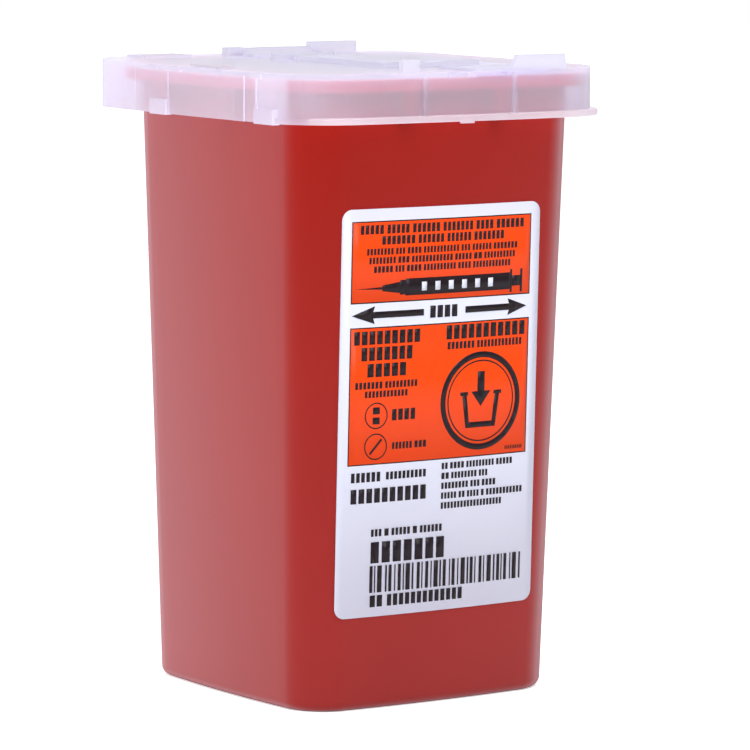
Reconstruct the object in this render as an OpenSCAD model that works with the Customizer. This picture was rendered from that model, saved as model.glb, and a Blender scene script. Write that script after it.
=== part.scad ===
// Quart-size sharps container: a drafted square tub with a flanged rim, a push-on skirted lid,
// a hinged drop door in the lid, a small needle flap hinged on the door, and a front label.
// The origin is the middle of the foot. +Z is up, and the label is on the -Y side.

/* [Tub] */
// Half width of the tub at its foot, measured near a corner
foot_half = 37.5; // [36:0.1:40]
// How far a side leans out for each millimetre of height
draft = 0.0248; // [0.02:0.0002:0.03]
// How far the middle of each side bows out
bow = 1.8; // [0.5:0.1:2.4]
// Radius of the upright corners
corner_r = 10.1; // [9:0.1:14]
// Height to the top of the rim
tub_h = 157.15; // [140:0.05:170]
// Thickness of the side walls
wall_t = 1.6; // [1.2:0.1:2.2]
// Thickness of the floor
floor_t = 2; // [1.5:0.1:3]
// Depth of the groove under the foot
foot_groove = 0.6; // [0.3:0.1:1]
// Radius of the rounded edge round the foot
foot_fillet = 2.4; // [1.5:0.1:3.5]
// How far the rim stands out from the wall
rim_out = 3.9; // [3:0.1:4]
// Height of the rim
rim_h = 3.1; // [2:0.1:4]

/* [Lid] */
// How far the outside of the skirt stands out from the tub's wall
skirt_out = 5.5; // [5.4:0.1:6]
// Thickness of the skirt
skirt_t = 1.2; // [1:0.1:1.3]
// Depth of the skirt, from the top of the lid
skirt_h = 12.1; // [11:0.1:14]
// Radius of the skirt's corners
lid_r = 14.6; // [14:0.1:16]
// Extra depth behind the tub, under the door's hinge
hinge_ledge = 8.1; // [6:0.1:10]
// Thickness of the top
top_t = 1.35; // [1.2:0.05:1.6]
// How far the lip along the front edge stands out
lip_out = 1.4; // [1:0.1:2]
// Height of the lip
lip_h = 1.5; // [1:0.1:2]

/* [Doors] */
// Left edge of the drop door
door_x0 = -15; // [-16:0.5:-14]
// Width of the drop door
door_w = 46; // [44:0.5:46.5]
// Front edge of the drop door
door_y0 = -36.5; // [-37:0.5:-36]
// Back edge of the drop door
door_y1 = 36.5; // [36:0.5:36.5]
// Thickness of the drop door
door_t = 1.5; // [1.2:0.1:1.5]
// Thickness of the needle flap
flap_t = 1.3; // [1:0.1:1.3]
// Radius of the door's hinge pins
door_pin_r = 0.8; // [0.6:0.05:0.8]
// Radius of the flap's hinge pins
flap_pin_r = 0.6; // [0.5:0.05:0.6]
// Radial clearance between a pin and its bore
pin_gap = 0.07; // [0.02:0.01:0.1]

/* [Label] */
// Width of the label
label_w = 59.8; // [50:0.2:62]
// Height of the label
label_h = 101.6; // [80:0.1:110]
// Height of the label's lower edge
label_z = 23.6; // [15:0.1:40]
// Sideways offset of the label's middle
label_x = -1.3; // [-3:0.1:3]
// Thickness of the label
label_t = 0.2; // [0.1:0.05:0.3]

/* [Hidden] */
// Segments in each rounded corner and along each bowed side
arc_steps = 10;
side_steps = 8;
eps = 0.01;
// Further out than any part, for cutting shapes
beyond = 80;
// Gap between parts that rest on each other
rest_gap = 0.05;
// Colours
red = [0.70, 0.17, 0.13];
frosted = [0.90, 0.88, 0.96, 0.6];
white = [0.97, 0.97, 0.97];

// Groove under the foot: how far inside the wall it starts, and its width
groove_in = 6;
groove_w = 3;

// Lid levels
lid_floor = tub_h + rest_gap;
lid_top = lid_floor + top_t;
skirt_z = lid_top - skirt_h;
lid_half = half_at(tub_h) + skirt_out;
// Pocket that the drop door lies in
pocket_gap = 0.4;
pocket_z = lid_top - door_t - 2 * rest_gap;
pocket_floor = 1.4;
frame_w = 1.6;
door_x1 = door_x0 + door_w;
door_top = lid_top - rest_gap;
door_z = door_top - door_t;
// Width of the ledge that the closed door rests on, round the drop opening
ledge = 3.5;
// Inner ring that centres the lid in the tub's mouth
plug_gap = 0.4;
plug_t = 1.2;
plug_h = 4;
// Door hinge: two lugs on the lid hold the pins at the ends of the door's knuckle.
// A lug is [left edge, width, depth, height].
door_axis = [0, 40.5, lid_top + 1.2];
door_lug_a = [-12.7, 5.1, 2.8, 2.4];
door_lug_c = [13.5, 14.2, 2.8, 3.4];
door_knuckle_r = 1.1;
door_pin_l = 3;
lug_gap = 0.2;
// Flap hinge, on top of the door: a lug, and a wedge whose last value is the height of its right end
flap_axis = [0, 17.6, door_top + 0.95];
flap_lug_b = [-12.8, 5.4, 2.4, 1.9];
flap_wedge_d = [5.3, 19.8, 2.2, 2, 0.5];
flap_knuckle_r = 0.85;
flap_pin_l = 1.8;
// Needle flap plate
flap_x0 = -7;
flap_x1 = 22;
flap_y0 = -24;
flap_y1 = 15.2;
// Needle port in the door, under the flap
port = [9, -4];
port_r = 8;
notch_r = 2.6;
notch_l = 16;
// Front latch of the door
tongue = [3.2, 31.2];
tongue_t = 0.6;
hook = [3.8, 12.6];
hook_y = -46.6;
hook_t = 1.2;
hook_drop = 1.2;
tab = [14.3, 31.5];
tab_y = -48.3;
tab_t = 1.4;
tab_h = 3.7;
tab_slant = 2;
front_y = -lid_half - bow;
// Distance from the axis to the outside of the skirt's corner
corner_reach = (lid_half - lid_r) * sqrt(2) + lid_r;
// The lip is moved to the right by this much, so that it is widest there
lip_shift = 0.6;

// Half width of the tub's outside at height z
function half_at(z) = foot_half + draft * z;
// Distance from the axis to the outside of the skirt's left or right side, at a point along it
function side_at(y) = lid_half + bow * (1 - pow(y / lid_half, 2));
function clamp01(v) = max(0, min(1, v));
// Moves a point of a rounded square outwards by the bow of the nearest side
function bowed(p, half, r) = [
    p.x + sign(p.x) * bow * (1 - pow(p.y / half, 2)) * clamp01((abs(p.x) - half + r) / r),
    p.y + sign(p.y) * bow * (1 - pow(p.x / half, 2)) * clamp01((abs(p.y) - half + r) / r)
];
function turned(p, a) = [p.x * cos(a) - p.y * sin(a), p.x * sin(a) + p.y * cos(a)];
// One corner arc followed by the side after it, for the corner in the +X +Y quarter
function corner_and_side(half, r) = concat(
    [for (i = [0:arc_steps]) let (a = 90 * i / arc_steps) [half - r + r * cos(a), half - r + r * sin(a)]],
    [for (i = [1:side_steps - 1]) [(half - r) * (1 - 2 * i / side_steps), half]]
);
// Square outline with rounded corners and bowed sides; the back half is moved by `back`
function outline(half, r, back = 0) = [
    for (quarter = [0:3]) for (p = corner_and_side(half, r))
        let (q = bowed(turned(p, 90 * quarter), half, r)) [q.x, q.y + (q.y > 0 ? back : 0)]
];

// Thin slice of the tub's outline, `grow` outside its wall
module slice(z, grow) {
    translate([0, 0, z])
        linear_extrude(height = eps)
            polygon(outline(half_at(z) + grow, corner_r + grow));
}

// Prism between two heights of an outline less the same outline `t` inside it
module ring(z0, z1, half, r, t, back = 0) {
    translate([0, 0, z0])
        linear_extrude(height = z1 - z0)
            difference() {
                polygon(outline(half, r, back));
                polygon(outline(half - t, r - t, back));
            }
}

// Box from one corner to the opposite one
module block(low, high) {
    translate(low)
        cube(high - low);
}

// Cylinder along +X that starts at x and runs for l, centred on an axis point
module x_rod(x, l, axis, r) {
    translate([x, axis.y, axis.z])
        rotate([0, 90, 0])
            cylinder(h = l, r = r, $fn = 48);
}

// Profile in the YZ plane, extruded along X from x0 to x1
module x_prism(x0, x1, profile) {
    translate([x0, 0, 0])
        rotate([90, 0, 90])
            linear_extrude(height = x1 - x0)
                polygon(profile);
}

// ---- Tub ----

module tub_outside() {
    hull() {
        for (a = [0:22.5:90])
            slice(foot_fillet * (1 - cos(a)), -foot_fillet * (1 - sin(a)));
        slice(tub_h - eps, 0);
    }
}

module tub_inside() {
    hull() {
        for (a = [0:30:90])
            slice(floor_t + foot_fillet * (1 - cos(a)), -wall_t - foot_fillet * (1 - sin(a)));
        slice(tub_h + 1, -wall_t);
    }
}

// Two gussets under the rim on each side
module gussets() {
    gusset_w = 3.4;
    gusset_drop = 6.5;
    wall_half = half_at(tub_h - rim_h);
    for (side = [0:3], x = [-14.9, 12.3])
        rotate([0, 0, 90 * side])
            block([x - gusset_w / 2, -wall_half - rim_out - bow * 0.85, tub_h - rim_h - gusset_drop],
                  [x + gusset_w / 2, -wall_half - bow * 0.6, tub_h - rim_h + eps]);
}

module tub() {
    color(red)
        difference() {
            union() {
                tub_outside();
                ring(tub_h - rim_h, tub_h, half_at(tub_h) + rim_out, corner_r + rim_out, rim_out + wall_t / 2);
                gussets();
            }
            tub_inside();
            ring(-eps, foot_groove, foot_half - groove_in, corner_r - groove_in, groove_w);
        }
}

// ---- Lid ----

module skirt() {
    ring(skirt_z, lid_top, lid_half, lid_r, skirt_t, hinge_ledge);
}

// The lip runs from the front left corner round the front and along the right side
module lip() {
    c = lid_half - lid_r;
    start = 10;
    reach = 45;
    intersection() {
        translate([lip_shift, 0, 0])
            ring(skirt_z, skirt_z + lip_h, lid_half + lip_out, lid_r + lip_out, lip_out + lip_shift + 0.5,
                 hinge_ledge);
        translate([0, 0, skirt_z - 1])
            linear_extrude(height = lip_h + 2)
                polygon([[-c, -c], [-c - reach * cos(start), -c - reach * sin(start)],
                         [-beyond, -beyond], [beyond, -beyond], [beyond, c], [c, c]]);
    }
}

// Upright fins on the front of the skirt, standing on the lip
module front_fins() {
    fin_w = 0.8;
    for (x = [-12.2, 14.8])
        block([x - fin_w / 2, front_y - lip_out + 0.4, skirt_z + lip_h - eps],
              [x + fin_w / 2, front_y + skirt_t, lid_top - 0.4]);
}

// Two slanted ribs that meet like a V, on the front left corner of the skirt
module corner_ribs() {
    z0 = skirt_z + lip_h - eps;
    rib_w = 0.5;
    for (rib = [[-1.9, -0.9, 9], [2, 1, 5.4]])
        rotate([0, 0, 225])
            translate([corner_reach - 0.7, 0, 0])
                rotate([90, 0, 90])
                    linear_extrude(height = 1.1)
                        polygon([[rib[1], z0], [rib[1] + rib_w, z0],
                                 [rib[0] + rib_w, z0 + rib[2]], [rib[0], z0 + rib[2]]]);
}

// Small index bump under the lip, near the middle of the front
module index_bump() {
    block([-1.3, front_y - lip_out + 0.3, skirt_z - 0.5], [2.3, front_y, skirt_z + eps]);
}

// Upright ribs on the left side: middle and width of each
module left_ribs() {
    rib_out = 0.4;
    for (rib = [[27.5, 1.5], [-21.6, 4.7], [10.6, 0.6], [33, 0.6], [-29, 0.6]])
        block([-side_at(rib[0]) - rib_out, rib[0] - rib[1] / 2, skirt_z],
              [-side_at(rib[0]) + skirt_t / 2, rib[0] + rib[1] / 2, lid_top - 0.8]);
}

// Solid locating pads at the skirt's lower edge, each on its own side of the tub
module pads() {
    pad_h = 3.8;
    pad_drop = 0.3;
    pad_out = 0.6;
    for (p = [[0, 15.1, 7.4], [0, -32.3, 8.4], [180, 15.1, 7.4], [180, -32.3, 8.4]])
        rotate([0, 0, p[0]])
            block([-side_at(p[1]) - pad_out, p[1] - p[2] / 2, skirt_z - pad_drop],
                  [-side_at(abs(p[1]) + p[2] / 2) + skirt_t, p[1] + p[2] / 2, skirt_z - pad_drop + pad_h]);
}

// Small nibs just under the top edge: middle and width, on the front and on the left side
module nibs() {
    nib_h = 1.2;
    nib_z = lid_top - 0.3 - nib_h;
    nib_out = 0.4;
    for (n = [[-4, 2.1], [2.2, 1.8]])
        block([n[0] - n[1] / 2, front_y - nib_out, nib_z], [n[0] + n[1] / 2, front_y + skirt_t, nib_z + nib_h]);
    for (n = [[18.4, 5.2], [7.7, 6.4], [-10.5, 5.1], [-28.2, 5.6]])
        block([-side_at(n[0]) - nib_out, n[0] - n[1] / 2, nib_z],
              [-side_at(n[0]) + skirt_t, n[0] + n[1] / 2, nib_z + nib_h]);
}

// Lugs that stand on the top and hold the door's hinge pins
module door_lugs() {
    for (lug = [door_lug_a, door_lug_c])
        block([lug[0], door_axis.y - lug[2] / 2, lid_top - eps],
              [lug[0] + lug[1], door_axis.y + lug[2] / 2, lid_top + lug[3]]);
}

module lid_top_plate() {
    low_pad_h = 0.6;
    back_pad_h = 0.7;
    stop_h = 3.2;
    translate([0, 0, lid_floor])
        linear_extrude(height = top_t)
            polygon(outline(lid_half - eps, lid_r, hinge_ledge));
    // Frame that carries the pocket's floor
    block([door_x0 - frame_w, door_y0 - frame_w, pocket_z - pocket_floor],
          [door_x1 + frame_w, door_y1 + frame_w, lid_floor + eps]);
    // Raised pads on the left edge and at the back left corner
    block([-lid_half + 0.5, -9.3, lid_top - eps], [-lid_half + 5, 4.1, lid_top + low_pad_h]);
    block([-36, 42, lid_top - eps], [-22, 51, lid_top + back_pad_h]);
    // Stop lug on the front edge
    block([-18.1, -48.3, lid_top - eps], [-13.2, -46.5, lid_top + stop_h]);
}

module lid() {
    plug_half = half_at(lid_floor - plug_h) - wall_t - plug_gap;
    color(frosted)
        difference() {
            union() {
                skirt();
                lip();
                front_fins();
                corner_ribs();
                index_bump();
                left_ribs();
                pads();
                nibs();
                lid_top_plate();
                door_lugs();
                ring(lid_floor - plug_h, lid_floor + eps, plug_half, corner_r - wall_t - plug_gap, plug_t);
            }
            // Pocket and drop opening
            block([door_x0 - pocket_gap, door_y0 - pocket_gap, pocket_z],
                  [door_x1 + pocket_gap, door_y1 + pocket_gap, lid_top + 1]);
            block([door_x0 + ledge, door_y0 + ledge, pocket_z - 3],
                  [door_x1 - ledge, door_y1 - ledge, pocket_z + 1]);
            // Latch slot in the top, and its window in the front
            block([hook[0] - 0.4, hook_y - 0.4, lid_floor - 1], [hook[1] + 0.4, hook_y + hook_t + 0.4, lid_top + 1]);
            block([hook[0] - 0.4, front_y - 1, lid_floor + 0.2], [hook[1] + 0.2, hook_y + hook_t, lid_top - 0.3]);
            // Hinge bores, blind in both lugs
            x_rod(door_lug_a[0] + door_lug_a[1] - door_pin_l - lug_gap, door_pin_l + 1, door_axis,
                  door_pin_r + pin_gap);
            x_rod(door_lug_c[0] - 1, door_pin_l + lug_gap + 1, door_axis, door_pin_r + pin_gap);
        }
}

// ---- Drop door ----

module door_knuckle() {
    x0 = door_lug_a[0] + door_lug_a[1] + lug_gap;
    x1 = door_lug_c[0] - lug_gap;
    y = door_axis.y;
    z = door_axis.z;
    x_rod(x0, x1 - x0, door_axis, door_knuckle_r);
    x_rod(x0 - door_pin_l, x1 - x0 + 2 * door_pin_l, door_axis, door_pin_r);
    x_prism(x0, x1, [[door_y1 - 2, door_top - eps], [door_y1, door_top - eps], [door_y1, lid_top + 0.1],
                     [y, lid_top + 0.1], [y, z + door_knuckle_r - 0.1], [y - 1.2, z + 0.5],
                     [door_y1 - 2, door_top + 0.7]]);
}

module door_latch() {
    z0 = lid_top + rest_gap;
    // Tongue that bridges the front of the lid
    x_prism(tongue[0], tongue[1], [[tab_y, z0], [door_y0 + 0.2, z0], [door_y0 + 0.2, door_top - eps],
                                   [door_y0 + 4, door_top - eps], [door_y0 + 4, z0 + 0.3],
                                   [door_y0 + 1, z0 + tongue_t], [tab_y, z0 + tongue_t]]);
    block([hook[0], hook_y, lid_top - hook_drop], [hook[1], hook_y + hook_t, z0 + eps]);
    // Finger tab with slanted ends
    translate([0, tab_y + tab_t, 0])
        rotate([90, 0, 0])
            linear_extrude(height = tab_t)
                polygon([[tab[0], z0], [tab[1], z0], [tab[1] - 0.6, z0 + tab_h], [tab[0] + tab_slant, z0 + tab_h]]);
}

module flap_supports() {
    b = flap_lug_b;
    d = flap_wedge_d;
    block([b[0], flap_axis.y - b[2] / 2, door_top - eps], [b[0] + b[1], flap_axis.y + b[2] / 2, door_top + b[3]]);
    translate([0, flap_axis.y + d[2] / 2, 0])
        rotate([90, 0, 0])
            linear_extrude(height = d[2])
                polygon([[d[0], door_top - eps], [d[0] + d[1], door_top - eps],
                         [d[0] + d[1], door_top + d[4]], [d[0], door_top + d[3]]]);
}

module drop_door() {
    color(frosted)
        difference() {
            union() {
                block([door_x0, door_y0, door_z], [door_x1, door_y1, door_top]);
                door_knuckle();
                door_latch();
                flap_supports();
            }
            // Needle port with its notch
            translate([port.x, port.y, door_z - 1]) {
                cylinder(h = door_t + 2, r = port_r, $fn = 64);
                translate([0, notch_l, 0])
                    cylinder(h = door_t + 2, r = notch_r, $fn = 32);
                translate([-notch_r * 0.8, 0, 0])
                    cube([notch_r * 1.6, notch_l, door_t + 2]);
            }
            // Hinge bores for the flap's pins
            x_rod(flap_lug_b[0] + flap_lug_b[1] - flap_pin_l - lug_gap, flap_pin_l + 1, flap_axis,
                  flap_pin_r + pin_gap);
            x_rod(flap_wedge_d[0] - 1, flap_pin_l + lug_gap + 1, flap_axis, flap_pin_r + pin_gap);
        }
}

// ---- Needle flap ----

module needle_flap() {
    x0 = flap_lug_b[0] + flap_lug_b[1] + lug_gap;
    x1 = flap_wedge_d[0] - lug_gap;
    z0 = door_top + rest_gap;
    dish_r = 18;
    dish_depth = 0.5;
    color(frosted)
        union() {
            difference() {
                block([flap_x0, flap_y0, z0], [flap_x1, flap_y1, z0 + flap_t]);
                // Rounded dish for the fingertip
                translate([(flap_x0 + flap_x1) / 2, flap_y0, z0 + flap_t + dish_r - dish_depth])
                    sphere(r = dish_r, $fn = 48);
            }
            x_rod(x0, x1 - x0, flap_axis, flap_knuckle_r);
            x_rod(x0 - flap_pin_l, x1 - x0 + 2 * flap_pin_l, flap_axis, flap_pin_r);
            block([x0, flap_y1 - eps, z0 + 0.1], [x1, flap_axis.y, z0 + flap_t]);
        }
}

// ---- Label ----

// The label's outline, with rounded corners, extruded towards the front
module label_prism() {
    r = 2.8;
    translate([label_x, 0, label_z + label_h / 2])
        rotate([90, 0, 0])
            linear_extrude(height = beyond)
                union() {
                    square([label_w, label_h - 2 * r], center = true);
                    square([label_w - 2 * r, label_h], center = true);
                    for (sx = [-1, 1], sz = [-1, 1])
                        translate([sx * (label_w / 2 - r), sz * (label_h / 2 - r)])
                            circle(r = r, $fn = 32);
                }
}

module label() {
    color(white)
        intersection() {
            difference() {
                hull() {
                    slice(label_z - 1, rest_gap + label_t);
                    slice(label_z + label_h + 1, rest_gap + label_t);
                }
                hull() {
                    slice(label_z - 2, rest_gap);
                    slice(label_z + label_h + 2, rest_gap);
                }
            }
            label_prism();
        }
}

tub();
lid();
drop_door();
needle_flap();
label();
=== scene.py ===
"""Looks of a quart-size sharps container: red tub, frosted lid with its two doors, front label.

The lid, the drop door and the needle flap are the CAD nodes themselves, with softened edges. The
tub and the label are finer meshes on the same outline, because their corners and bowed sides need
more facets. Lengths are in millimetres until a mesh is made, and in metres in Blender. +Z is up,
and the label faces -Y.
"""

import math

import bmesh
import bpy
from mathutils import Matrix, Vector


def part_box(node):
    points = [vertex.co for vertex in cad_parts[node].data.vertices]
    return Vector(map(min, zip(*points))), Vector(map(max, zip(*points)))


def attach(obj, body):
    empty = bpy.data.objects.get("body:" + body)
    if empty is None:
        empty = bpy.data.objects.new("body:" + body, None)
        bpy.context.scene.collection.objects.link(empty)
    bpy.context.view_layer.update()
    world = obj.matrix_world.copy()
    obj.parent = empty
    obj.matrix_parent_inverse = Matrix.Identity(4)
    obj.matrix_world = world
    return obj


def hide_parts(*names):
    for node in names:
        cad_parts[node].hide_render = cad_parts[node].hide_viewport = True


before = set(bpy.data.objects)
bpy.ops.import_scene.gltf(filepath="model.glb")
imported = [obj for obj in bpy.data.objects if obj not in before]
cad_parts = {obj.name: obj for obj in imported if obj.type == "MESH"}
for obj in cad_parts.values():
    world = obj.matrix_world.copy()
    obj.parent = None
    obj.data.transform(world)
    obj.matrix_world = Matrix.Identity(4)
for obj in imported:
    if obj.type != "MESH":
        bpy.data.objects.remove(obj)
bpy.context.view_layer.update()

MM = 0.001
tub_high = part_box("tub")[1] / MM
label_low, label_high = [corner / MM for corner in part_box("label")]

# Tub, as the CAD source has it
RIM_TOP = tub_high.z
BOW = 1.8
RIM_OUT = 3.9
DRAFT = 0.0248
FOOT_HALF = tub_high.x - RIM_OUT - BOW - DRAFT * RIM_TOP
CORNER_R = 10.1
RIM_H = 3.1
WALL_T = 1.6
FLOOR_T = 2.0
FILLET = 2.4
GROOVE_OUT, GROOVE_IN, GROOVE_DEPTH = 6.0, 9.0, 0.6
# Gussets under the rim: their places along a side, width, length down the wall and edge radius
GUSSET_PLACES = (-14.9, 12.3)
GUSSET_W, GUSSET_DROP, GUSSET_EDGE = 3.4, 6.5, 0.3
# Height of the band along the rim's lower edge that is painted a brighter red as painted light, and
# the radius of the rim's edges
RIM_EDGE_H = 0.9
RIM_EDGE_R = 0.35
# Facets of an upright corner and of a side
ARC_STEPS = 18
SIDE_STEPS = 16
# Angle in degrees from which an edge stays sharp in the shading
SHARP_DEG = 35

# Lid: places beyond SIDE from the middle lie in its skirt
SIDE = 44.0
# Levels of its top, its lip and its locating pads, and the thickness of its top
LID_TOP = 158.55
LIP_TOP = 147.95
PAD_TOP = 149.95
TOP_T = 1.35
# A place counts as level with a face when it is about this close to it
SLACK = 0.05

# Label: paper, ink layers, and the width of the strips that follow the bowed front
PAPER_GAP = 0.05
PAPER_T = 0.2
PAPER_R = 2.8
LABEL_W = label_high.x - label_low.x
LABEL_H = label_high.z - label_low.z
INK_T = 0.02
INK_STEP = 2.5
# Blocks that stand in for print: their pitch, the gaps between them and those between words, in
# row heights, and what a gap between blocks has on top of that, in millimetres
BLOCK_PITCH = 0.62
BLOCK_GAP = 0.14
WORD_GAP = 0.5
EXTRA_GAP = 0.12


# ---- Outline of the tub --------------------------------------------------------------------------


def half_at(z):
    """Half width of the tub's outside at height z, without the bow."""
    return FOOT_HALF + DRAFT * z


def clamp01(value):
    return max(0.0, min(1.0, value))


def bowed(x, y, half, radius):
    """A point of a rounded square, moved outwards by the bow of the nearest side."""
    x_share = clamp01((abs(x) - half + radius) / radius)
    y_share = clamp01((abs(y) - half + radius) / radius)
    return (
        x + math.copysign(BOW, x) * (1 - (y / half) ** 2) * x_share,
        y + math.copysign(BOW, y) * (1 - (x / half) ** 2) * y_share,
    )


def outline(half, radius):
    """Square with rounded corners and bowed sides, anticlockwise, as (x, y) pairs."""
    quarter = []
    for i in range(ARC_STEPS + 1):
        a = math.pi / 2 * i / ARC_STEPS
        quarter.append((half - radius + radius * math.cos(a), half - radius + radius * math.sin(a)))
    for i in range(1, SIDE_STEPS):
        quarter.append(((half - radius) * (1 - 2 * i / SIDE_STEPS), half))
    points = []
    for turn in range(4):
        a = math.pi / 2 * turn
        c, s = round(math.cos(a)), round(math.sin(a))
        points += [bowed(x * c - y * s, x * s + y * c, half, radius) for x, y in quarter]
    return points


def front_y(x, z, out):
    """Y of the tub's front face at (x, z), moved `out` away from it."""
    half = half_at(z)
    return -(half + BOW * (1 - (x / half) ** 2) + out)


# ---- Meshes --------------------------------------------------------------------------------------


def new_object(name, bm, material):
    """Object from a bmesh in millimetres, shaded smooth up to an angle."""
    bmesh.ops.scale(bm, vec=(MM, MM, MM), verts=bm.verts)
    mesh = bpy.data.meshes.new(name)
    bm.to_mesh(mesh)
    bm.free()
    mesh.shade_smooth()
    mesh.set_sharp_from_angle(angle=math.radians(SHARP_DEG))
    mesh.materials.append(material)
    obj = bpy.data.objects.new(name, mesh)
    bpy.context.scene.collection.objects.link(obj)
    return obj


def loft(bm, profile):
    """Closed skin through one ring for each (grow, z) of the profile, flat at both ends."""
    rings = []
    for grow, z in profile:
        points = outline(half_at(z) + grow, CORNER_R + grow)
        rings.append([bm.verts.new((x, y, z)) for x, y in points])
    for low, high in zip(rings, rings[1:]):
        count = len(low)
        for i in range(count):
            j = (i + 1) % count
            bm.faces.new((low[i], low[j], high[j], high[i]))
    bm.faces.new(reversed(rings[0]))
    bm.faces.new(rings[-1])


def quarter_round(centre, radius, start_deg, end_deg, steps):
    """Points of an arc in the (grow, z) plane."""
    points = []
    for i in range(steps + 1):
        a = math.radians(start_deg + (end_deg - start_deg) * i / steps)
        points.append((centre[0] + radius * math.cos(a), centre[1] + radius * math.sin(a)))
    return points


def soft_box(bm, low, high, turn, edge):
    """Box with rounded edges, turned about Z."""
    part = bmesh.new()
    size = [h - l for l, h in zip(low, high)]
    middle = [(l + h) / 2 for l, h in zip(low, high)]
    place = Matrix.Translation(middle) @ Matrix.Diagonal((*size, 1))
    bmesh.ops.create_cube(part, size=1, matrix=place)
    bmesh.ops.bevel(part, geom=part.edges[:], offset=edge, segments=3, profile=0.5, affect="EDGES")
    about_z = Matrix.Rotation(turn, 3, "Z")
    bmesh.ops.rotate(part, cent=(0, 0, 0), matrix=about_z, verts=part.verts)
    scratch = bpy.data.meshes.new("scratch")
    part.to_mesh(scratch)
    part.free()
    bm.from_mesh(scratch)
    bpy.data.meshes.remove(scratch)


def make_tub(material, rim_edge_lit_material, rim_lit_material):
    """Tub: the profile runs from the foot's groove up the outside, over the rim and down inside."""
    rim_low = RIM_TOP - RIM_H
    groove_slope, rim_hollow, edge = 0.3, 0.6, RIM_EDGE_R
    profile = [
        (-GROOVE_IN, 0),
        (-GROOVE_IN + groove_slope, GROOVE_DEPTH),
        (-GROOVE_OUT - groove_slope, GROOVE_DEPTH),
        (-GROOVE_OUT, 0),
    ]
    profile += quarter_round((-FILLET, FILLET), FILLET, -90, 0, 10)
    profile += quarter_round((rim_hollow, rim_low - rim_hollow), rim_hollow, 180, 90, 4)
    profile += quarter_round((RIM_OUT - edge, rim_low + edge), edge, -90, 0, 4)
    profile.append((RIM_OUT, rim_low + RIM_EDGE_H))
    profile += quarter_round((RIM_OUT - edge, RIM_TOP - edge), edge, 0, 90, 4)
    profile += quarter_round((-WALL_T + edge, RIM_TOP - edge), edge, 90, 180, 4)
    profile += quarter_round((-WALL_T - FILLET, FLOOR_T + FILLET), FILLET, 0, -90, 8)
    bm = bmesh.new()
    loft(bm, profile)
    # Gussets reach from inside the bowed wall to a little inside the rim's bowed edge
    wall = half_at(rim_low)
    outer = -wall - RIM_OUT - BOW * 0.85
    inner = -wall - BOW * 0.6
    overlap = 0.2
    for side in range(4):
        for x in GUSSET_PLACES:
            low = (x - GUSSET_W / 2, outer, rim_low - GUSSET_DROP)
            high = (x + GUSSET_W / 2, inner, rim_low + overlap)
            soft_box(bm, low, high, math.pi / 2 * side, GUSSET_EDGE)
    tub = new_object("tub_body", bm, material)
    tub.data.materials.append(rim_edge_lit_material)
    tub.data.materials.append(rim_lit_material)
    # The rim and the band along its lower edge take the lighter, redder copies of the plastic:
    # painted light on the rim as seen through the lid
    for polygon in tub.data.polygons:
        z = polygon.center.z / MM
        polygon.material_index = int(z > rim_low - 2 * SLACK) + int(z > rim_low + RIM_EDGE_H)
    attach(tub, "tub")
    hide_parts("tub")


# ---- Label ---------------------------------------------------------------------------------------
# A label shape is a list of (u, v) points in millimetres: u runs right from the label's left edge,
# v down from its top edge.

# Margin round the orange panels, width of their dark borders, and their tops and heights
MARGIN, BORDER = 2.8, 0.3
PANELS = [(3.0, 20.3), (29.2, 34.3)]
# Rows of print as (v, height, word lengths), centred on the label and on the left column
UPPER_ROWS = [
    (4.0, 2.2, [6.6, 6.4, 8.0, 9.0, 5.2, 8.6]),
    (6.8, 2.1, [9.6, 7.6, 7.2, 9.2]),
    (9.8, 1.6, [7.6, 2.6, 4.0, 10.6, 2.6, 5.8, 7.4]),
    (12.0, 1.6, [7.6, 3.2, 12.2, 5.0, 2.4, 9.6]),
    (14.2, 1.6, [5.4, 2.6, 4.2, 9.6, 3.8, 11.6]),
]
COLUMN_MIDDLE = 13.6
COLUMN_ROWS = [
    (30.2, 3.3, [19.2]),
    (34.2, 3.3, [14.8]),
    (38.3, 3.3, [11.2]),
    (42.8, 1.7, [7.8, 9.4]),
    (45.1, 1.6, [12.4]),
]
# Rows of print as (u, v, height, word lengths), each starting at its own u
HEADING_ROWS = [
    (31.2, 29.9, 3.5, [24.4]),
    (31.6, 34.1, 1.8, [8.2, 14.0]),
]
LOWER_ROWS = [
    (50.2, 61.4, 0.9, [5.4]),
    (3.9, 65.3, 2.4, [8.4]),
    (14.0, 65.5, 1.9, [11.8]),
    (3.9, 69.4, 3.6, [22.0]),
    (30.6, 64.4, 1.6, [1.8, 4.2, 8.6, 5.0]),
    (30.6, 66.9, 1.6, [2.2, 7.8, 2.6]),
    (30.6, 69.4, 1.6, [8.2, 2.8, 4.2]),
    (30.6, 71.9, 1.6, [4.6, 1.8, 3.6, 0.8, 11.4]),
    (30.6, 74.4, 1.6, [18.8]),
    (10.0, 79.7, 1.8, [3.0, 1.2, 5.4, 1.2, 6.6]),
    (10.0, 82.9, 5.3, [21.8]),
    (10.0, 96.3, 2.9, [3.6, 22.6]),
]
# Bars near the foot: left and right end, top, height, and the widths and gaps that they repeat
BARS_LEFT, BARS_RIGHT, BARS_V, BARS_H = 9.8, 56.8, 88.9, 6.7
BAR_WIDTHS = (0.9, 0.35, 1.3, 0.5, 0.9, 0.35)
BAR_GAPS = (0.45, 0.55, 1.0, 0.5, 0.8, 0.7, 0.6)
# Levels of the syringe's axis and of the fill line, and the middle of the bin sign
NEEDLE_V = 19.7
FILL_V = 26.2
SIGN_U, SIGN_V = 42.2, 49.4
# Pale marks along the syringe's barrel: left end, pitch, width, height and how many
MARKS_LEFT, MARK_PITCH, MARK_W, MARK_H, MARKS = 23.4, 4.05, 1.5, 2.2, 6


def bar(u, v, width, height):
    return [(u, v), (u + width, v), (u + width, v + height), (u, v + height)]


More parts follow.
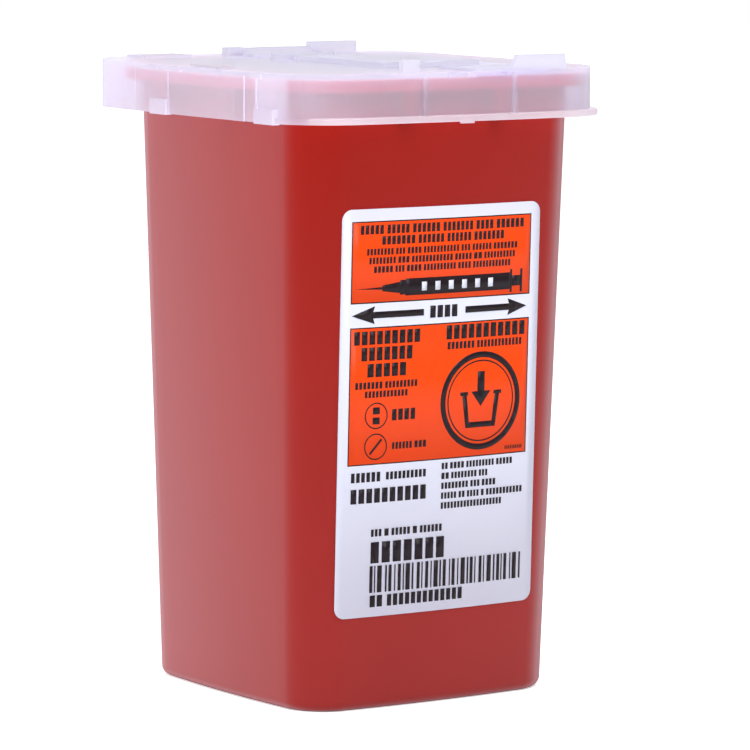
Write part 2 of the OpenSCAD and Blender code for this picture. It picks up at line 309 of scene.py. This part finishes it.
def rounded(u, v, width, height, radius, steps=8):
    """Bar with round corners."""
    points = []
    corners = [
        (u + width - radius, v + radius, -90),
        (u + width - radius, v + height - radius, 0),
        (u + radius, v + height - radius, 90),
        (u + radius, v + radius, 180),
    ]
    for cu, cv, start in corners:
        for i in range(steps + 1):
            a = math.radians(start + 90 * i / steps)
            points.append((cu + radius * math.cos(a), cv + radius * math.sin(a)))
    return points


def ring(u, v, radius, width, steps=40):
    """Band along a circle, as short four-sided pieces."""
    pieces = []
    for i in range(steps):
        a0, a1 = [math.radians(360 * k / steps) for k in (i, i + 1)]
        pieces.append([
            (u + r * math.cos(a), v + r * math.sin(a))
            for r, a in ((radius, a0), (radius, a1), (radius - width, a1), (radius - width, a0))
        ])
    return pieces


def words(u, v, height, lengths):
    """Row of plain blocks in place of a line of print: one run of blocks for each word length."""
    pieces = []
    for length in lengths:
        count = max(1, round(length / (height * BLOCK_PITCH)))
        gap = height * BLOCK_GAP + EXTRA_GAP
        pitch = (length + gap) / count
        for i in range(count):
            pieces.append(bar(u + i * pitch, v, pitch - gap, height))
        u += length + height * WORD_GAP
    return pieces


def centred_words(middle, v, height, lengths):
    width = sum(lengths) + height * WORD_GAP * (len(lengths) - 1)
    return words(middle - width / 2, v, height, lengths)


def arrow(tip, tail, v, head_l, head_h, shaft_h):
    """Horizontal arrow from its tail to its tip."""
    way = math.copysign(1, tail - tip)
    neck = tip + way * head_l
    notch = neck - way * head_l * 0.12
    return [
        [(tip, v), (neck, v - head_h / 2), (notch, v), (neck, v + head_h / 2)],
        bar(min(notch, tail), v - shaft_h / 2, abs(tail - notch), shaft_h),
    ]


def syringe(v):
    """Syringe with its point left: needle, nozzle, collar, barrel, flange, rod, thumb rest."""
    return [
        [(4.2, v), (11.8, v - 0.3), (11.8, v + 0.3)],
        [(11.8, v - 0.7), (17.0, v - 1.4), (17.0, v + 1.4), (11.8, v + 0.7)],
        bar(17.0, v - 1.8, 1.6, 3.6),
        bar(18.6, v - 2.1, 32.0, 4.2),
        bar(50.6, v - 2.9, 0.6, 5.8),
        bar(51.2, v - 1.3, 2.6, 2.6),
        bar(53.8, v - 2.9, 0.7, 5.8),
    ]


def fill_line(v):
    """An arrow to each side of a short row of blocks."""
    left = arrow(3.2, 24.2, v, 6.6, 4.4, 1.6)
    right = arrow(56.0, 36.8, v, 6.0, 4.2, 1.6)
    return left + right + words(26.1, v - 1.5, 3.0, [8.2])


def small_signs():
    """Two circles, one with stacked bars and one with a slash, each with a row of blocks."""
    shapes = []
    for v in (51.3, 59.0):
        shapes += ring(10.8, v, 3.3, 0.3)
    shapes.append(bar(9.8, 49.2, 2.0, 1.7))
    shapes.append(bar(9.8, 51.7, 2.0, 1.7))
    shapes += words(15.4, 49.9, 2.8, [6.8])
    shapes.append([(8.9, 60.6), (12.3, 57.0), (12.7, 57.4), (9.3, 61.0)])
    shapes += words(15.6, 58.2, 1.7, [5.8, 3.4])
    return shapes


def bin_sign(u, v):
    """Two rings round an open bin, with an arrow that points down into it."""
    return [
        *ring(u, v, 12.4, 1.5, steps=72),
        *ring(u, v, 10.3, 0.35, steps=64),
        bar(u - 1.1, v - 7.4, 2.2, 5.2),
        [(u - 3.0, v - 2.4), (u + 3.0, v - 2.4), (u, v + 1.4)],
        [(u - 5.8, v - 1.6), (u - 4.4, v - 1.6), (u - 3.4, v + 6.6), (u - 4.6, v + 6.6)],
        [(u + 4.4, v - 1.6), (u + 5.8, v - 1.6), (u + 4.6, v + 6.6), (u + 3.4, v + 6.6)],
        bar(u - 4.6, v + 5.3, 9.2, 1.4),
        bar(u - 6.4, v - 2.4, 2.4, 0.9),
        bar(u + 4.0, v - 2.4, 2.4, 0.9),
    ]


def plain_bars():
    """Upright bars of repeating widths, which encode nothing."""
    shapes = []
    u, step = BARS_LEFT, 0
    while u + BAR_WIDTHS[step % len(BAR_WIDTHS)] < BARS_RIGHT:
        width = BAR_WIDTHS[step % len(BAR_WIDTHS)]
        shapes.append(bar(u, BARS_V, width, BARS_H))
        u += width + BAR_GAPS[step % len(BAR_GAPS)]
        step += 1
    return shapes


def on_label(name, shapes, layer, material):
    """Prints shapes on the label's bowed surface, as thin closed pieces on one layer of ink."""
    bm = bmesh.new()
    for shape in shapes:
        bm.faces.new([bm.verts.new((label_low.x + u, 0, label_high.z - v)) for u, v in shape])
    bmesh.ops.remove_doubles(bm, verts=bm.verts, dist=0.0005)
    for i in range(1, int(LABEL_W / INK_STEP) + 1):
        cut = (label_low.x + i * INK_STEP, 0, 0)
        geometry = bm.verts[:] + bm.edges[:] + bm.faces[:]
        bmesh.ops.bisect_plane(bm, geom=geometry, plane_co=cut, plane_no=(1, 0, 0))
    out = PAPER_GAP + PAPER_T + INK_T * (layer + 1)
    for vert in bm.verts:
        vert.co.y = front_y(vert.co.x, vert.co.z, out)
    bm.normal_update()
    bmesh.ops.reverse_faces(bm, faces=[f for f in bm.faces if f.normal.y > 0])
    obj = new_object(name, bm, material)
    shell = obj.modifiers.new("thickness", "SOLIDIFY")
    shell.thickness = INK_T * MM
    shell.offset = -1
    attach(obj, "tub")
    return obj


def make_label(paper, orange, ink):
    """Paper sheet and four layers of print: borders, orange panels, dark ink and pale marks."""
    sheet = on_label("label_paper", [rounded(0, 0, LABEL_W, LABEL_H, PAPER_R)], -1, paper)
    sheet.modifiers["thickness"].thickness = PAPER_T * MM
    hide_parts("label")

    panel_w = LABEL_W - 2 * MARGIN
    inset = 2 * BORDER
    borders = [bar(MARGIN, v, panel_w, h) for v, h in PANELS]
    fills = [bar(MARGIN + BORDER, v + BORDER, panel_w - inset, h - inset) for v, h in PANELS]
    on_label("label_borders", borders, 0, ink)
    on_label("label_panels", fills, 1, orange)

    dark = []
    for row in UPPER_ROWS:
        dark += centred_words(LABEL_W / 2, *row)
    dark += syringe(NEEDLE_V)
    dark += fill_line(FILL_V)
    for row in COLUMN_ROWS:
        dark += centred_words(COLUMN_MIDDLE, *row)
    dark += small_signs()
    for row in HEADING_ROWS:
        dark += words(*row)
    dark += bin_sign(SIGN_U, SIGN_V)
    for row in LOWER_ROWS:
        dark += words(*row)
    dark += plain_bars()
    on_label("label_ink", dark, 2, ink)

    mark_v = NEEDLE_V - MARK_H / 2
    pale = [bar(MARKS_LEFT + MARK_PITCH * i, mark_v, MARK_W, MARK_H) for i in range(MARKS)]
    on_label("label_marks", pale, 3, paper)


# ---- Materials -----------------------------------------------------------------------------------


class Nodes:
    """Small helper to write a node tree in lines that read from left to right."""

    def __init__(self, owner):
        owner.use_nodes = True
        self.tree = owner.node_tree
        self.tree.nodes.clear()

    def feed(self, socket, value):
        """Links a socket to an input, or sets the input to a value."""
        if isinstance(value, bpy.types.NodeSocket):
            self.tree.links.new(value, socket)
        else:
            socket.default_value = value

    def add(self, kind, inputs=None, **settings):
        """Adds a node, then sets its properties and its inputs."""
        node = self.tree.nodes.new(kind)
        for key, value in settings.items():
            setattr(node, key, value)
        for key, value in (inputs or {}).items():
            self.feed(node.inputs[key], value)
        return node

    def place(self):
        """Object coordinates, which stay with the moulding when it moves."""
        return self.add("ShaderNodeTexCoord").outputs["Object"]

    def split(self, vector):
        return self.add("ShaderNodeSeparateXYZ", {0: vector}).outputs

    def noise(self, scale, detail, roughness=0.5):
        inputs = {"Vector": self.place(), "Scale": scale, "Detail": detail, "Roughness": roughness}
        return self.add("ShaderNodeTexNoise", inputs).outputs["Fac"]

    def between(self, factor, low, high):
        """Maps a 0 to 1 factor onto a range."""
        inputs = {"Value": factor, "To Min": low, "To Max": high}
        return self.add("ShaderNodeMapRange", inputs).outputs["Result"]

    def near(self, value, middle, reach):
        """1 where a value lies within reach of the middle, and 0 elsewhere."""
        inputs = {0: value, 1: middle, 2: reach}
        return self.add("ShaderNodeMath", inputs, operation="COMPARE").outputs[0]

    def math(self, operation, first, *others):
        """A math node on one value, or a chain of them that takes in the others one by one."""
        for other in others or (0.0,):
            node = self.add("ShaderNodeMath", {0: first, 1: other}, operation=operation)
            first = node.outputs[0]
        return first

    def colour_mix(self, factor, a, b):
        node = self.add("ShaderNodeMix", {"Factor": factor}, data_type="RGBA")
        for name, value in (("A", a), ("B", b)):
            self.feed([s for s in node.inputs if s.name == name and s.type == "RGBA"][0], value)
        return [s for s in node.outputs if s.type == "RGBA"][0]

    def shader_mix(self, factor, a, b):
        return self.add("ShaderNodeMixShader", {"Fac": factor, 1: a, 2: b}).outputs[0]

    def bump(self, height, distance, strength):
        inputs = {"Height": height, "Distance": distance, "Strength": strength}
        return self.add("ShaderNodeBump", inputs).outputs["Normal"]

    def finish(self, shader):
        self.add("ShaderNodeOutputMaterial", {"Surface": shader})


def rgb(r, g, b):
    return (r, g, b, 1.0)


# Painted sheen on the red plastic, a pale diffuse mixed in: how much at a slant, how much more as a
# painted floor reflection near the foot, and the most there can be
PAINTED_SHEEN = 0.95
PAINTED_FOOT_REFLECTION = 0.038
MOST_PAINTED_SHEEN = 0.27
# Locating pads, and the stretch of skirt next to a corner that is backed from behind: middle and
# half width, along Y on the left side and against it on the right
PADS = ((15.1, 3.75), (-32.3, 4.25))
BACKED = (-33.4, 4.9)
# How far a place counts as solid where the skirt is backed, and where the top plate backs it
BACKED_SHARE = 0.9
TOP_EDGE_SHARE = 0.5
# Extra milkiness of the frosted plastic edge-on and round upright corners
EDGE_ON_MILK = 0.2
CORNER_MILK = 0.08
# Painted shade on the frosted plastic: how much greyer it is on faces that look up, and on
# undersides
PAINTED_SHADE_UP = 0.22
PAINTED_SHADE_DOWN = 0.75
# Colours of its milky share: the range of its clouds, that of the parts above the lid's top, the
# lip, and the grey of the painted shade. Then those of its clear share and of the light that
# passes through
MILKY = (0.83, 0.83, 0.96, 1.0), (0.89, 0.89, 0.99, 1.0)
RAISED = (0.73, 0.73, 0.79, 1.0), (0.79, 0.79, 0.85, 1.0)
LIP_TINT = (0.97, 0.91, 0.96, 1.0)
PAINTED_SHADE_TINT = (0.46, 0.46, 0.54, 1.0)
CLEAR_TINT = (0.90, 0.86, 0.96, 1.0)
PASSING_TINT = (0.86, 0.84, 0.89, 1.0)


def red_plastic(name, low, high):
    """Satin red moulding with a fine grain, slow flow marks and a painted sheen."""
    material = bpy.data.materials.new(name)
    n = Nodes(material)
    grain = n.noise(1800, 2.0)
    flow = n.noise(22, 4.0, 0.6)
    normal = n.bump(n.math("ADD", n.math("MULTIPLY", grain, 0.03), flow), 0.00006, 0.6)
    surface = n.add("ShaderNodeBsdfPrincipled", {
        "Base Color": n.colour_mix(flow, low, high),
        "Roughness": n.between(flow, 0.36, 0.46),
        "Specular IOR Level": 0.09,
        "Subsurface Weight": 0.15,
        "Subsurface Radius": (1.0, 0.2, 0.1),
        "Subsurface Scale": 0.0012,
        "Normal": normal,
    }).outputs[0]
    # Painted sheen: a pale diffuse mixed in where the satin surface is seen at a slant, and a
    # painted reflection of the floor that adds a little more near the foot
    pale = {"Color": rgb(0.72, 0.66, 0.72), "Normal": normal}
    painted_sheen_bsdf = n.add("ShaderNodeBsdfDiffuse", pale).outputs[0]
    facing = n.add("ShaderNodeLayerWeight", {"Blend": 0.5}).outputs["Facing"]
    share = n.math("MULTIPLY", n.math("POWER", facing, 3.0), PAINTED_SHEEN)
    # Painted floor reflection: paler towards the foot
    low_down = n.add("ShaderNodeMapRange", {
        "Value": n.split(n.place())["Z"],
        "From Max": RIM_TOP * MM,
        "To Min": PAINTED_FOOT_REFLECTION,
        "To Max": 0.0,
    }).outputs["Result"]
    share = n.math("MINIMUM", n.math("ADD", share, low_down), MOST_PAINTED_SHEEN)
    n.finish(n.shader_mix(share, surface, painted_sheen_bsdf))
    return material


def stout_places(n):
    """Where the frosted moulding is above the lid's top, in its lip, and solid or backed.

    Gives these three as 0 to 1 factors, and the height in millimetres.
    """
    place = n.split(n.place())
    x, y, z = [n.math("DIVIDE", place[axis], MM) for axis in "XYZ"]
    above = n.math("GREATER_THAN", z, LID_TOP + SLACK)
    # The lip runs along the foot of the front and of the right side
    front = n.math("LESS_THAN", y, -SIDE)
    right = n.math("GREATER_THAN", x, SIDE)
    at_lip = n.math("LESS_THAN", z, LIP_TOP + 2 * SLACK)
    lip = n.math("MULTIPLY", at_lip, n.math("MAXIMUM", front, right))
    along = n.math("MULTIPLY", y, n.math("MULTIPLY", n.math("SIGN", x), -1.0))
    at_side = n.math("GREATER_THAN", n.math("ABSOLUTE", x), SIDE)
    low_down = n.math("LESS_THAN", z, PAD_TOP)
    pads = n.math("ADD", *[n.near(along, *pad) for pad in PADS])
    pads = n.math("MULTIPLY", pads, at_side, low_down)
    backed = n.math("MULTIPLY", n.near(along, *BACKED), at_side, BACKED_SHARE)
    return above, lip, n.math("MAXIMUM", above, lip, pads, backed), z


def frosted_plastic(name, thin_milk, thick_milk):
    """Translucent moulding: part clear and rough, part milky, whiter at corners and edge-on."""
    material = bpy.data.materials.new(name)
    n = Nodes(material)
    cloud = n.noise(60, 4.0, 0.6)
    grain = n.noise(1500, 2.0)
    normal = n.bump(n.math("ADD", n.math("MULTIPLY", grain, 0.05), cloud), 0.00005, 0.5)
    way = n.split(n.add("ShaderNodeTexCoord").outputs["Normal"])
    above, lip, solid, z = stout_places(n)
    tint = n.colour_mix(above, n.colour_mix(cloud, *MILKY), n.colour_mix(cloud, *RAISED))
    tint = n.colour_mix(lip, tint, LIP_TINT)
    # Painted shade: faces that look up are a little greyer, and undersides more so
    up = n.math("MULTIPLY", n.math("MAXIMUM", way["Z"], 0.0), PAINTED_SHADE_UP)
    down = n.math("MULTIPLY", n.math("MINIMUM", way["Z"], 0.0), -PAINTED_SHADE_DOWN)
    tint = n.colour_mix(n.math("ADD", up, down), tint, PAINTED_SHADE_TINT)
    clear = n.add("ShaderNodeBsdfPrincipled", {
        "Base Color": CLEAR_TINT,
        "Transmission Weight": 1.0,
        "Roughness": n.between(cloud, 0.30, 0.36),
        "IOR": 1.18,
        "Coat Weight": 0.5,
        "Coat Roughness": 0.25,
        "Normal": normal,
    }).outputs[0]
    front = n.add("ShaderNodeBsdfDiffuse", {"Color": tint, "Normal": normal}).outputs[0]
    through = n.add("ShaderNodeBsdfTranslucent", {"Color": tint, "Normal": normal}).outputs[0]
    milk = n.shader_mix(0.45, front, through)
    # How milky it is: thick or thin, with the skirt's upper edge between the two
    top_edge = n.math("GREATER_THAN", z, LID_TOP - TOP_T)
    stout = n.math("MAXIMUM", solid, n.math("MULTIPLY", top_edge, TOP_EDGE_SHARE))
    share = n.between(stout, thin_milk, thick_milk)
    facing = n.add("ShaderNodeLayerWeight", {"Blend": 0.35}).outputs["Facing"]
    share = n.math("ADD", n.math("MULTIPLY", facing, EDGE_ON_MILK), share)
    corner = n.math("ABSOLUTE", n.math("MULTIPLY", way["X"], way["Y"], 2.0))
    corner = n.math("MULTIPLY", n.math("POWER", corner, 4.0), CORNER_MILK)
    share = n.math("ADD", share, corner)
    # Light passes on to what lies behind
    passing = n.add("ShaderNodeBsdfTransparent", {"Color": PASSING_TINT}).outputs[0]
    shadow = n.add("ShaderNodeLightPath").outputs["Is Shadow Ray"]
    n.finish(n.shader_mix(shadow, n.shader_mix(share, clear, milk), passing))
    return material


def label_paper():
    """Satin paper with a faint fibre."""
    material = bpy.data.materials.new("label_paper")
    n = Nodes(material)
    fibre = n.noise(900, 3.0)
    cloud = n.noise(30, 3.0)
    surface = n.add("ShaderNodeBsdfPrincipled", {
        "Base Color": n.colour_mix(cloud, rgb(0.78, 0.80, 0.98), rgb(0.84, 0.86, 1.0)),
        "Roughness": n.between(fibre, 0.38, 0.5),
        "Normal": n.bump(fibre, 0.00001, 0.4),
    })
    n.finish(surface.outputs[0])
    return material


def printed(name, low, high):
    """Ink with the slight mottle of print."""
    material = bpy.data.materials.new(name)
    n = Nodes(material)
    mottle = n.noise(420, 4.0, 0.65)
    surface = n.add("ShaderNodeBsdfPrincipled", {
        "Base Color": n.colour_mix(mottle, low, high),
        "Roughness": n.between(mottle, 0.35, 0.5),
        "Specular IOR Level": 0.25,
        "Normal": n.bump(mottle, 0.000006, 0.4),
    })
    n.finish(surface.outputs[0])
    return material


def floor_material():
    """Pale matt floor that the camera sees a little brighter than it is."""
    material = bpy.data.materials.new("pale_floor")
    n = Nodes(material)
    cloud = n.noise(3, 2.0)
    surface = n.add("ShaderNodeBsdfPrincipled", {
        "Base Color": n.colour_mix(cloud, rgb(0.93, 0.93, 0.94), rgb(0.95, 0.95, 0.96)),
        "Roughness": 0.9,
    }).outputs[0]
    glow = n.add("ShaderNodeEmission", {"Strength": FLOOR_GLOW}).outputs[0]
    lit = n.add("ShaderNodeAddShader", {0: surface, 1: glow}).outputs[0]
    seen = n.add("ShaderNodeLightPath").outputs["Is Camera Ray"]
    n.finish(n.shader_mix(seen, surface, lit))
    return material


# ---- Lid and doors -------------------------------------------------------------------------------

# Corners closer than this become one, faces flatter to each other than FLAT_DEG become one, and
# edges sharper than ROUND_DEG are rounded
WELD_DIST = 0.002
FLAT_DEG = 0.5
ROUND_DEG = 30


def soften(node, material, edge):
    """Gives a CAD node its plastic and small rounded edges."""
    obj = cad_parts[node]
    obj.data.materials.clear()
    obj.data.materials.append(material)
    obj.data.shade_smooth()
    weld = obj.modifiers.new("weld", "WELD")
    weld.merge_threshold = WELD_DIST * MM
    flat = obj.modifiers.new("flat_faces", "DECIMATE")
    flat.decimate_type = "DISSOLVE"
    flat.angle_limit = math.radians(FLAT_DEG)
    bevel = obj.modifiers.new("edges", "BEVEL")
    bevel.width = edge * MM
    bevel.segments = 2
    bevel.limit_method = "ANGLE"
    bevel.angle_limit = math.radians(ROUND_DEG)
    bevel.use_clamp_overlap = True
    normals = obj.modifiers.new("normals", "WEIGHTED_NORMAL")
    normals.keep_sharp = False


# ---- Scene ---------------------------------------------------------------------------------------

# The room: which way the bright backdrop is, how bright it and the dim side are, and between about
# which cosines of the angle to that way the one turns into the other
BACKDROP_WAY = (0.45, 0.89, 0.0)
ROOM_DIM = 0.12
ROOM_BRIGHT = 1.28
DIM_UP_TO, BRIGHT_FROM = -0.25, 0.55
# Extra brightness of the floor as the camera sees it, so that it reads as white paper
FLOOR_GLOW = 0.6
FLOOR_SIZE = 6.0
# Camera: from the front left and a little above. Angles in degrees, lengths in metres, and how far
# the picture's middle is to the right of the Z axis and above the floor
VIEW_AZIMUTH, VIEW_ELEVATION, VIEW_ROLL = -34.54, 6.63, 0.366
VIEW_DISTANCE, VIEW_SIDE, VIEW_HEIGHT = 1.2234, 0.0057, 0.07875
LENS = 229.6
LENS_SHIFT = 0.0018
# Height that the lamps are aimed at, in metres
LAMP_AIM = 0.08


def make_floor():
    mesh = bpy.data.meshes.new("floor")
    h = FLOOR_SIZE / 2
    mesh.from_pydata([(-h, -h, 0), (h, -h, 0), (h, h, 0), (-h, h, 0)], [], [(0, 1, 2, 3)])
    mesh.materials.append(floor_material())
    obj = bpy.data.objects.new("floor", mesh)
    bpy.context.scene.collection.objects.link(obj)


def soft_light(name, azimuth_deg, elevation_deg, distance, size, power, colour=(1, 1, 1)):
    """Square lamp aimed at the object's middle. Azimuth 0 is in front and grows to the right."""
    data = bpy.data.lights.new(name, "AREA")
    data.shape = "SQUARE"
    data.size = size
    data.energy = power
    data.color = colour
    a, e = math.radians(azimuth_deg), math.radians(elevation_deg)
    away = Vector((math.sin(a) * math.cos(e), -math.cos(a) * math.cos(e), math.sin(e)))
    obj = bpy.data.objects.new(name, data)
    obj.location = Vector((0, 0, LAMP_AIM)) + away * distance
    obj.rotation_euler = away.to_track_quat("Z", "Y").to_euler()
    bpy.context.scene.collection.objects.link(obj)


def make_world():
    """White backdrop behind the object and a dim room in front; the camera sees plain white."""
    world = bpy.data.worlds.new("studio")
    n = Nodes(world)
    way = n.add("ShaderNodeTexCoord").outputs["Generated"]
    ahead = n.add("ShaderNodeVectorMath", {0: way, 1: BACKDROP_WAY}, operation="DOT_PRODUCT")
    ramp = n.add("ShaderNodeMapRange", {
        "Value": ahead.outputs["Value"],
        "From Min": DIM_UP_TO,
        "From Max": BRIGHT_FROM,
        "To Min": ROOM_DIM,
        "To Max": ROOM_BRIGHT,
    }, interpolation_type="SMOOTHSTEP")
    seen = n.add("ShaderNodeLightPath").outputs["Is Camera Ray"]
    strength = n.add("ShaderNodeMix", {"Factor": seen, "A": ramp.outputs["Result"], "B": 1.0})
    inputs = {"Color": rgb(1, 1, 1), "Strength": strength.outputs["Result"]}
    background = n.add("ShaderNodeBackground", inputs)
    n.add("ShaderNodeOutputWorld", {"Surface": background.outputs[0]})
    bpy.context.scene.world = world


def make_camera():
    azimuth, elevation = math.radians(VIEW_AZIMUTH), math.radians(VIEW_ELEVATION)
    roll = math.radians(VIEW_ROLL)
    forward = Vector((
        -math.sin(azimuth) * math.cos(elevation),
        math.cos(azimuth) * math.cos(elevation),
        -math.sin(elevation),
    ))
    level = Vector((math.cos(azimuth), math.sin(azimuth), 0))
    above = level.cross(forward)
    right = level * math.cos(roll) + above * math.sin(roll)
    up = above * math.cos(roll) - level * math.sin(roll)
    data = bpy.data.cameras.new("camera")
    data.lens = LENS
    data.clip_start = 0.05
    data.clip_end = 20
    data.shift_x = LENS_SHIFT
    obj = bpy.data.objects.new("camera", data)
    place = Vector((0, 0, VIEW_HEIGHT)) - forward * VIEW_DISTANCE + right * VIEW_SIDE
    turn = Matrix((right, up, -forward)).transposed()
    obj.matrix_world = Matrix.Translation(place) @ turn.to_4x4()
    bpy.context.scene.collection.objects.link(obj)
    bpy.context.scene.camera = obj


make_tub(
    red_plastic("red_plastic", rgb(0.33, 0.006, 0.002), rgb(0.38, 0.011, 0.004)),
    # Lighter, redder copies of the plastic for the rim's lower edge and the rim: painted light
    red_plastic("red_rim_edge_painted_light", rgb(0.56, 0.020, 0.026), rgb(0.62, 0.028, 0.036)),
    red_plastic("red_rim_painted_light", rgb(0.50, 0.040, 0.070), rgb(0.56, 0.054, 0.088)),
)
make_label(
    label_paper(),
    printed("orange_print", rgb(1.0, 0.062, 0.002), rgb(1.0, 0.080, 0.004)),
    printed("dark_print", rgb(0.010, 0.005, 0.009), rgb(0.018, 0.010, 0.015)),
)
lid_plastic = frosted_plastic("frosted_lid", 0.30, 0.60)
door_plastic = frosted_plastic("frosted_door", 0.33, 0.55)
soften("lid", lid_plastic, 0.22)
soften("drop_door", door_plastic, 0.2)
soften("needle_flap", door_plastic, 0.2)

make_floor()
make_world()
soft_light("key", azimuth_deg=-25, elevation_deg=52, distance=1.2, size=0.8, power=13)
soft_light("side", -125, 15, distance=1.2, size=0.8, power=5.5, colour=(0.93, 0.95, 1.0))
make_camera()
bpy.context.scene.view_settings.view_transform = "Standard"
